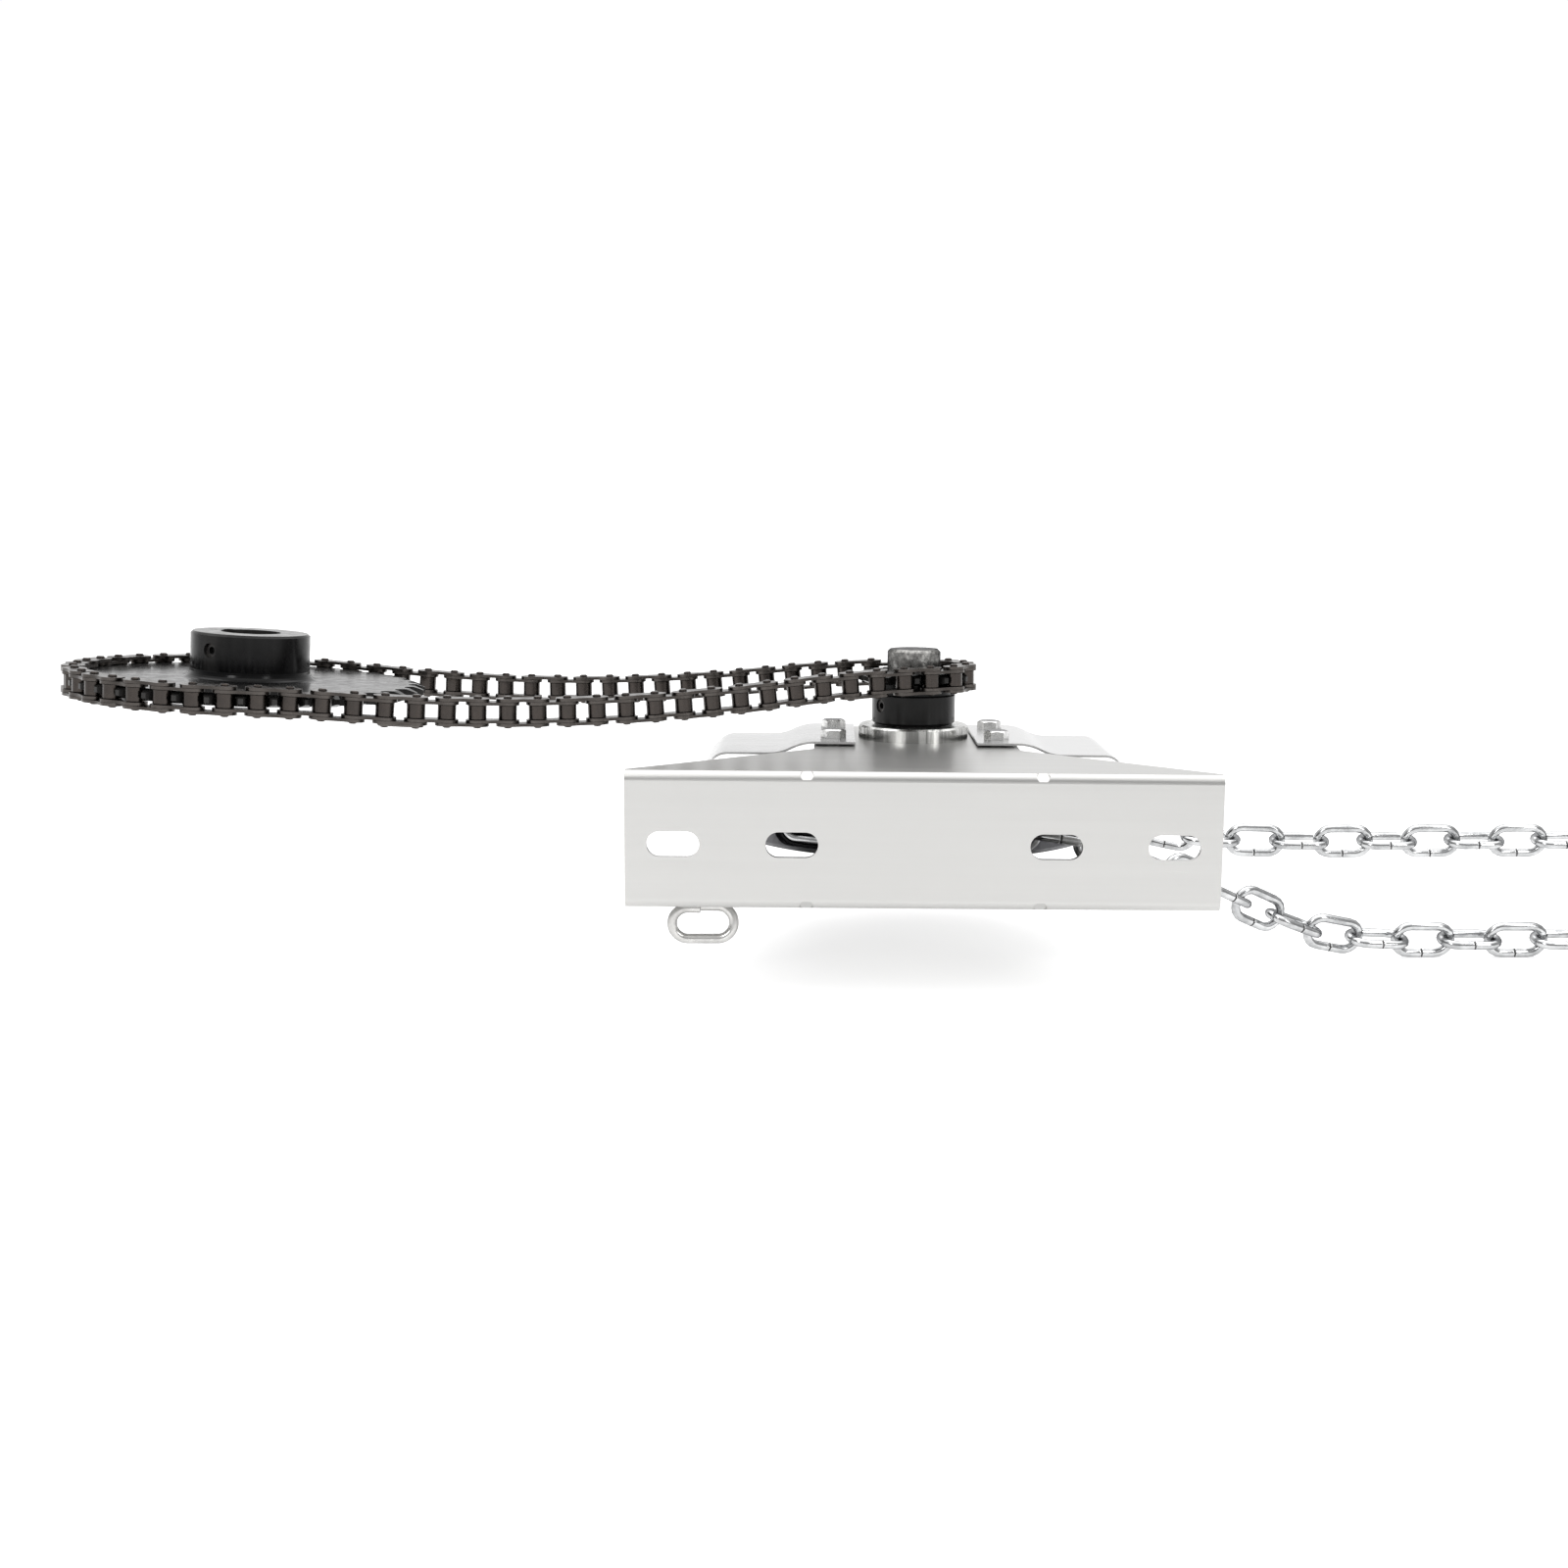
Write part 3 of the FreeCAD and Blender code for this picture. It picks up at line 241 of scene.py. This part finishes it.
def turned_metal(name, centre, axis, light, dark, rough):
    """Bright turned steel: concentric tool marks, slight staining, and dark streaks along Z that are painted
    reflections.
    """
    m = Shader(name)
    rings = m.rings(centre, axis, 2600.0)
    stain = m.noise(70.0, 4.0, 0.6)
    # painted reflection: streaks along Z darken the colour the way the studio's reflections band a turned face
    painted_reflection_streaks = m.noise(1.0, 3.0, 0.6, m.stretched((330.0, 330.0, 14.0)))
    tone = m.mix(m.span(stain, 0.0, 0.8, 0.35, 0.75), light, dark)
    colour = m.mix(m.span(painted_reflection_streaks, 0.0, 0.9, 0.48, 0.62), tone, dark)
    m.link(colour, m.surface.inputs["Base Color"])
    m.link(m.span(rings, rough - 0.06, rough + 0.10, 0.3, 0.7), m.surface.inputs["Roughness"])
    m.set(Metallic=1.0)
    m.bump(rings, 0.25, 0.00006)
    return m.material


def zinc_plate(name, light, dark, rough, spots=220.0):
    """Zinc plating: a mottled tone, duller patches and tiny pits."""
    m = Shader(name)
    patches = m.noise(spots, 5.0, 0.65)
    pits = m.noise(spots * 9.0, 2.0, 0.5)
    colour = m.mix(m.span(patches, 0.0, 1.0, 0.38, 0.66), light, dark)
    m.link(colour, m.surface.inputs["Base Color"])
    m.link(m.span(patches, rough - 0.06, rough + 0.14, 0.35, 0.65), m.surface.inputs["Roughness"])
    m.set(Metallic=1.0, Specular_Tint=rgb(0.28, 0.28, 0.29))
    m.bump(m.mix(0.3, patches, pits), 0.18, 0.00008)
    return m.material


def black_enamel(name, centre, axis):
    """Gloss black paint over turned steel, with dust and edges rubbed a little lighter."""
    m = Shader(name)
    rings = m.rings(centre, axis, 900.0)
    dust = m.noise(160.0, 5.0, 0.7)
    base = m.mix(m.span(dust, 0.0, 0.6, 0.50, 0.85), rgb(0.003, 0.003, 0.0033),
                 rgb(0.008, 0.0078, 0.0076))
    worn = m.mix(m.wear(0.53, 0.66), base, rgb(0.030, 0.029, 0.028))
    m.link(worn, m.surface.inputs["Base Color"])
    m.link(m.span(dust, 0.11, 0.28, 0.35, 0.75), m.surface.inputs["Roughness"])
    m.set(Metallic=0.0, Specular_IOR_Level=0.13)
    m.bump(m.mix(0.35, rings, dust), 0.22, 0.00010)
    return m.material


def oiled_steel(name, dark, brown, rough, metal=0.75):
    """Blued and oiled steel, with a brown cast and rubbed edges."""
    m = Shader(name)
    cast = m.noise(300.0, 4.0, 0.6)
    fine = m.noise(2400.0, 3.0, 0.6)
    base = m.mix(m.span(cast, 0.0, 1.0, 0.35, 0.68), dark, brown)
    worn = m.mix(m.wear(0.55, 0.72), base, rgb(0.15, 0.135, 0.125))
    m.link(worn, m.surface.inputs["Base Color"])
    m.link(m.span(cast, rough - 0.08, rough + 0.14, 0.3, 0.7), m.surface.inputs["Roughness"])
    m.set(Metallic=metal, Coat_Weight=0.12, Coat_Roughness=0.15)
    m.bump(fine, 0.15, 0.00005)
    return m.material


def cast_iron(name):
    """Dark cast iron: a sandy skin, with the edges rubbed by the chain."""
    m = Shader(name)
    sand = m.noise(1300.0, 5.0, 0.7)
    lumps = m.noise(120.0, 4.0, 0.6)
    base = m.mix(m.span(lumps, 0.0, 1.0, 0.35, 0.7), rgb(0.030, 0.031, 0.034),
                 rgb(0.070, 0.070, 0.074))
    worn = m.mix(m.wear(0.52, 0.64), base, rgb(0.20, 0.20, 0.21))
    m.link(worn, m.surface.inputs["Base Color"])
    m.link(m.span(lumps, 0.38, 0.62, 0.3, 0.7), m.surface.inputs["Roughness"])
    m.set(Metallic=0.55)
    m.bump(m.mix(0.4, sand, lumps), 0.45, 0.00025)
    return m.material


def sintered_bronze(name):
    """Bearing bronze: a grainy, stained surface."""
    m = Shader(name)
    grains = m.noise(1800.0, 4.0, 0.7)
    stain = m.noise(90.0, 3.0, 0.5)
    colour = m.mix(m.span(stain, 0.0, 1.0, 0.35, 0.7), rgb(0.50, 0.34, 0.16),
                   rgb(0.28, 0.19, 0.10))
    m.link(colour, m.surface.inputs["Base Color"])
    m.link(m.span(grains, 0.34, 0.58), m.surface.inputs["Roughness"])
    m.set(Metallic=0.9)
    m.bump(grains, 0.3, 0.0001)
    return m.material


def soft_tie(name):
    """Matt coated tie wire."""
    m = Shader(name)
    weave = m.noise(900.0, 3.0, 0.6)
    colour = m.mix(m.span(weave, 0.0, 0.6), rgb(0.02, 0.02, 0.022), rgb(0.06, 0.06, 0.062))
    m.link(colour, m.surface.inputs["Base Color"])
    m.link(m.span(weave, 0.45, 0.7), m.surface.inputs["Roughness"])
    m.bump(weave, 0.3, 0.0001)
    return m.material


def light_table(name):
    """White acrylic that glows a little, with a very faint grain."""
    m = Shader(name)
    fibre = m.noise(40.0, 4.0, 0.6)
    colour = m.mix(m.span(fibre, 0.0, 0.5), grey(0.60), grey(0.57))
    m.link(colour, m.surface.inputs["Base Color"])
    m.link(m.span(fibre, 0.75, 0.9), m.surface.inputs["Roughness"])
    m.set(Specular_IOR_Level=0.2, Emission_Color=grey(1.0), Emission_Strength=0.58)
    return m.material


def make_materials():
    """One material for each slot of the record."""
    return {
        "bracket": brushed_sheet("brushed_stainless", rgb(0.530, 0.527, 0.516),
                                 rgb(0.465, 0.462, 0.453), 0.30),
        "guide": brushed_sheet("bright_sheet", grey(0.70), grey(0.60), 0.24),
        "turned_steel": turned_metal("turned_steel", SHAFT, UP, rgb(0.80, 0.80, 0.78),
                                     rgb(0.30, 0.30, 0.29), 0.22),
        "bushing_bronze": sintered_bronze("sintered_bronze"),
        "fastener_zinc": zinc_plate("zinc_fastener", rgb(0.84, 0.84, 0.83),
                                    rgb(0.55, 0.55, 0.54), 0.24),
        "screw_black": oiled_steel("black_oxide", rgb(0.012, 0.012, 0.013), grey(0.03), 0.35),
        "shaft_zinc": zinc_plate("zinc_shaft", rgb(0.30, 0.296, 0.286),
                                 rgb(0.10, 0.098, 0.094), 0.26, 420.0),
        "wheel_iron": cast_iron("cast_iron"),
        "sprocket_black": black_enamel("black_enamel_drive", SHAFT, UP),
        "chain_dark": oiled_steel("oiled_chain_plate", rgb(0.0075, 0.0066, 0.0062),
                                  rgb(0.019, 0.015, 0.013), 0.28, 1.0),
        "chain_roller": oiled_steel("oiled_chain_roller", rgb(0.018, 0.015, 0.0135),
                                    rgb(0.040, 0.032, 0.028), 0.22, 1.0),
        "chain_joint": oiled_steel("oiled_spring_clip", rgb(0.050, 0.046, 0.044),
                                   rgb(0.12, 0.11, 0.10), 0.28, 0.9),
        "hand_chain_zinc": zinc_plate("zinc_chain", rgb(0.62, 0.625, 0.63),
                                      rgb(0.36, 0.365, 0.37), 0.12, 110.0),
    }


def dress_nodes(materials):
    """Gives each CAD node the material of its slot, or its own where that differs."""
    satin = zinc_plate("satin_wire", rgb(0.62, 0.615, 0.60), rgb(0.44, 0.435, 0.425), 0.27, 90.0)
    own = {"door_sprocket": black_enamel("black_enamel_door", DOOR_CENTRE, DOOR_AXIS),
           "keeper_loop": satin, "keeper_loop_weld": satin}
    for row in frame["record"]["subparts"]:
        piece = NODES[row["node"]]
        finish = own.get(row["node"], materials[row["material_slot"]])
        piece.data.materials.clear()
        piece.data.materials.append(finish)


# ------------------------------------------------------------------ hand chain

def coil_point(turn):
    """A point of the coil, at a number of turns from its start."""
    for (t0, r0, h0), (t1, r1, h1) in zip(TIERS, TIERS[1:]):
        if turn <= t1:
            break
    share = (turn - t0) / (t1 - t0)
    share = share * share * (3.0 - 2.0 * share)
    radius, height = r0 + (r1 - r0) * share, h0 + (h1 - h0) * share
    a = math.radians(360.0 * turn - 90.0)
    return (COIL_CENTRE.x + radius * math.cos(a), COIL_CENTRE.y + radius * math.sin(a),
            NEAR_ROUTE[-1][2] + height)


def chain_route():
    """The whole route: the near stretch, the coil and the far stretch back to the wheel."""
    steps = int(COIL_END * COIL_POINTS)
    coil = [coil_point(COIL_END * k / steps) for k in range(steps + 1)]
    return NEAR_ROUTE + coil + FAR_ROUTE[::-1]


def spline_points(route):
    """Points along the smooth line of a route."""
    data = bpy.data.curves.new("chain_line", "CURVE")
    data.dimensions = "3D"
    data.resolution_u = LINE_STEPS
    spline = data.splines.new("NURBS")
    spline.points.add(len(route) - 1)
    for point, place in zip(spline.points, route):
        point.co = (*place, 1.0)
    spline.order_u = 3
    spline.use_endpoint_u = True
    holder = bpy.data.objects.new("chain_line", data)
    bpy.context.scene.collection.objects.link(holder)
    bpy.context.view_layer.update()
    mesh = bpy.data.meshes.new_from_object(holder)
    points = [v.co.copy() for v in mesh.vertices]
    bpy.data.objects.remove(holder)
    bpy.data.curves.remove(data)
    bpy.data.meshes.remove(mesh)
    return points


def spaced(points, step):
    """Points a straight step apart along a line."""
    placed = [points[0]]
    k = 1
    while k < len(points):
        last = placed[-1]
        if (points[k] - last).length < step:
            k += 1
            continue
        a, b = points[k - 1], points[k]
        low, high = 0.0, 1.0
        for _ in range(30):
            middle = (low + high) / 2
            if (a.lerp(b, middle) - last).length < step:
                low = middle
            else:
                high = middle
        placed.append(a.lerp(b, high))
    return placed


def joints_of(points):
    """Joints of the chain: an even number of links that ends where the line ends."""
    step = LINK_PITCH
    for _ in range(24):
        placed = spaced(points, step)
        left = (points[-1] - placed[-1]).length / step
        count = len(placed) - 1 + left
        wanted = 2 * round(count / 2)
        step *= 1.0 + (count - wanted) / wanted
    return spaced(points, step)[:wanted + 1]


def ring_faces(count, sides):
    """Faces of a closed ring: count rounds of vertices, each with a number of sides."""
    faces = []
    for i in range(count):
        for j in range(sides):
            k, n = (i + 1) % count, (j + 1) % sides
            faces.append((i * sides + j, k * sides + j, k * sides + n, i * sides + n))
    return faces


def smooth_piece(name, vertices, faces):
    """A new smooth-shaded piece in the scene."""
    mesh = bpy.data.meshes.new(name)
    mesh.from_pydata(vertices, [], faces)
    mesh.shade_smooth()
    piece = bpy.data.objects.new(name, mesh)
    bpy.context.scene.collection.objects.link(piece)
    return piece


def link_shape():
    """Vertices, faces and groove faces of one link along X, its plane XZ, butt welded midway."""
    bend = (LINK_W - WIRE) / 2
    half = (LINK_PITCH + LINK_SLACK) / 2 + WIRE / 2 - bend
    line = []
    for k in range(LINK_ARC + 1):
        a = math.radians(-90.0 + 180.0 * k / LINK_ARC)
        line.append((Vector((half + bend * math.cos(a), 0, bend * math.sin(a))), a, 1.0))
    for k in range(LINK_ARC + 1):
        a = math.radians(90.0 + 180.0 * k / LINK_ARC)
        line.append((Vector((-half + bend * math.cos(a), 0, bend * math.sin(a))), a, 1.0))
    for x, swell in SEAM:
        line.append((Vector((x, 0, -bend)), math.radians(270.0), swell))
    vertices = []
    for place, a, swell in line:
        out = Vector((math.cos(a), 0, math.sin(a)))
        for j in range(LINK_RING):
            b = 2 * math.pi * j / LINK_RING
            offset = out * math.cos(b) + Vector((0, 1, 0)) * math.sin(b)
            vertices.append(place + offset * (WIRE / 2 * swell))
    sizes = [swell for _, _, swell in line]
    groove = []
    for here, after in zip(sizes, sizes[1:] + sizes[:1]):
        groove += [min(here, after) < 1.0] * LINK_RING
    return vertices, ring_faces(len(line), LINK_RING), groove


def chain_mesh(name, joints):
    """All the links between the joints, every other one turned a quarter round.

    The links lean a little, more so over the first few from the wheel, and the welds of both
    stretches lie on the same side. The second material is for the weld's groove.
    """
    shape, shape_faces, shape_groove = link_shape()
    vertices, faces, groove = [], [], []
    last = len(joints) - 2
    for k, (a, b) in enumerate(zip(joints, joints[1:])):
        along = (b - a).normalized()
        lean = math.radians(LINK_ROLL * min(k, last - k, ROLL_IN) / ROLL_IN) * along.x
        level = Vector((0, 0, 1)).cross(along).normalized()
        side = level * math.cos(lean) + along.cross(level) * math.sin(lean)
        up = along.cross(side)
        across = up if k % 2 else side * math.copysign(1.0, along.x)
        other = across.cross(along)
        middle = (a + b) / 2
        base = len(vertices)
        vertices += [middle + along * v.x + other * v.y + across * v.z for v in shape]
        faces += [tuple(base + i for i in face) for face in shape_faces]
        groove += shape_groove
    piece = smooth_piece(name, vertices, faces)
    for face, marked in zip(piece.data.polygons, groove):
        face.material_index = int(marked)
    return piece


def tie_mesh(name, line):
    """A closed ring of tie wire along a closed line."""
    vertices = []
    count = len(line)
    for i, here in enumerate(line):
        along = (line[(i + 1) % count] - line[i - 1]).normalized()
        if i == 0:
            side = along.orthogonal().normalized()
        else:
            side = (side - along * side.dot(along)).normalized()
        up = along.cross(side)
        for j in range(TIE_SIDES):
            b = 2 * math.pi * j / TIE_SIDES
            vertices.append(here + (side * math.cos(b) + up * math.sin(b)) * TIE_R)
    return smooth_piece(name, vertices, ring_faces(count, TIE_SIDES))


def coil_tie(name, angle):
    """Tie wire round the bundle of turns at one place of the coil."""
    a = math.radians(angle)
    out = Vector((math.cos(a), math.sin(a), 0.0))
    middle = Vector((*COIL_CENTRE, FLOOR_Z + TIE_R + TIE_HALF_H)) + out * TIE_RADIUS
    line = []
    for sx, sz, start in ((1, 1, 0), (-1, 1, 90), (-1, -1, 180), (1, -1, 270)):
        for k in range(TIE_CORNER_STEPS + 1):
            b = math.radians(start + 90.0 * k / TIE_CORNER_STEPS)
            across = sx * (TIE_HALF_W - TIE_CORNER) + TIE_CORNER * math.cos(b)
            height = sz * (TIE_HALF_H - TIE_CORNER) + TIE_CORNER * math.sin(b)
            line.append(middle + out * across + Vector((0, 0, height)))
    return tie_mesh(name, line)


def make_hand_chain(materials):
    """The free hand chain and its ties, attached to the root body in place of the hidden CAD strands."""
    points = spline_points(chain_route())
    joints = joints_of(points)
    chain = chain_mesh("hand_chain", joints)
    chain.data.materials.append(materials["hand_chain_zinc"])
    chain.data.materials.append(oiled_steel("weld_groove", grey(0.010),
                                            rgb(0.035, 0.033, 0.030), 0.5, 0.3))
    ties = [coil_tie("coil_tie_%d" % k, angle) for k, angle in enumerate(TIE_ANGLES)]
    tie_finish = soft_tie("tie_wire")
    for tie in ties:
        tie.data.materials.append(tie_finish)
        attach(tie, "root")
    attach(chain, "root")
    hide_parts("hand_chain_near_strand", "hand_chain_far_strand", "hand_chain_coil")


# ------------------------------------------------------------------ stage

def make_camera():
    """The camera in front of the wall plate, a little to the left and above."""
    data = bpy.data.cameras.new("camera")
    data.lens = CAMERA_LENS
    data.sensor_width = CAMERA_SENSOR
    data.shift_x, data.shift_y = CAMERA_SHIFT
    data.clip_start, data.clip_end = CAMERA_CLIP
    camera = bpy.data.objects.new("camera", data)
    place = Matrix.Translation(CAMERA_PLACE)
    for angle, axis in CAMERA_TURN:
        place = place @ Matrix.Rotation(math.radians(angle), 4, axis)
    camera.matrix_world = place
    bpy.context.scene.collection.objects.link(camera)
    bpy.context.scene.camera = camera


def area_light(name, place, target, size, power):
    """A rectangular light that faces its target."""
    data = bpy.data.lights.new(name, "AREA")
    data.shape = "RECTANGLE"
    data.size, data.size_y = size
    data.energy = power
    light = bpy.data.objects.new(name, data)
    light.location = place
    light.rotation_euler = (Vector(target) - Vector(place)).to_track_quat("-Z", "Y").to_euler()
    bpy.context.scene.collection.objects.link(light)


def make_stage():
    """The floor, the sky and the lights."""
    mesh = bpy.data.meshes.new("floor")
    corners = [(-1, -1), (1, -1), (1, 1), (-1, 1)]
    mesh.from_pydata([(FLOOR_REACH * x, FLOOR_REACH * y, FLOOR_Z) for x, y in corners], [],
                     [(0, 1, 2, 3)])
    floor = bpy.data.objects.new("floor", mesh)
    floor.data.materials.append(light_table("light_table"))
    bpy.context.scene.collection.objects.link(floor)
    make_world()
    bpy.context.scene.view_settings.view_transform = "Standard"
    for light in LIGHTS:
        area_light(*light)


def make_world():
    """A studio that is white behind the object, dimmer on its near side and lit from overhead."""
    world = bpy.data.worlds.new("studio")
    world.use_nodes = True
    tree = world.node_tree
    background = tree.nodes["Background"]
    place = tree.nodes.new("ShaderNodeTexCoord")
    parts = tree.nodes.new("ShaderNodeSeparateXYZ")
    tree.links.new(place.outputs["Generated"], parts.inputs["Vector"])
    depth = tree.nodes.new("ShaderNodeMapRange")
    overhead = tree.nodes.new("ShaderNodeMapRange")
    for made, source, values in ((depth, "Y", SKY_DEPTH), (overhead, "Z", SKY_OVERHEAD)):
        tree.links.new(parts.outputs[source], made.inputs["Value"])
        for name, value in zip(("From Min", "From Max", "To Min", "To Max"), values):
            made.inputs[name].default_value = value
    product = tree.nodes.new("ShaderNodeMath")
    product.operation = "MULTIPLY"
    tree.links.new(depth.outputs["Result"], product.inputs[0])
    tree.links.new(overhead.outputs["Result"], product.inputs[1])
    tree.links.new(product.outputs["Value"], background.inputs["Strength"])
    background.inputs["Color"].default_value = grey(1.0)
    bpy.context.scene.world = world


make_camera()
MATERIALS = make_materials()
make_hand_chain(MATERIALS)
dress_nodes(MATERIALS)
make_stage()
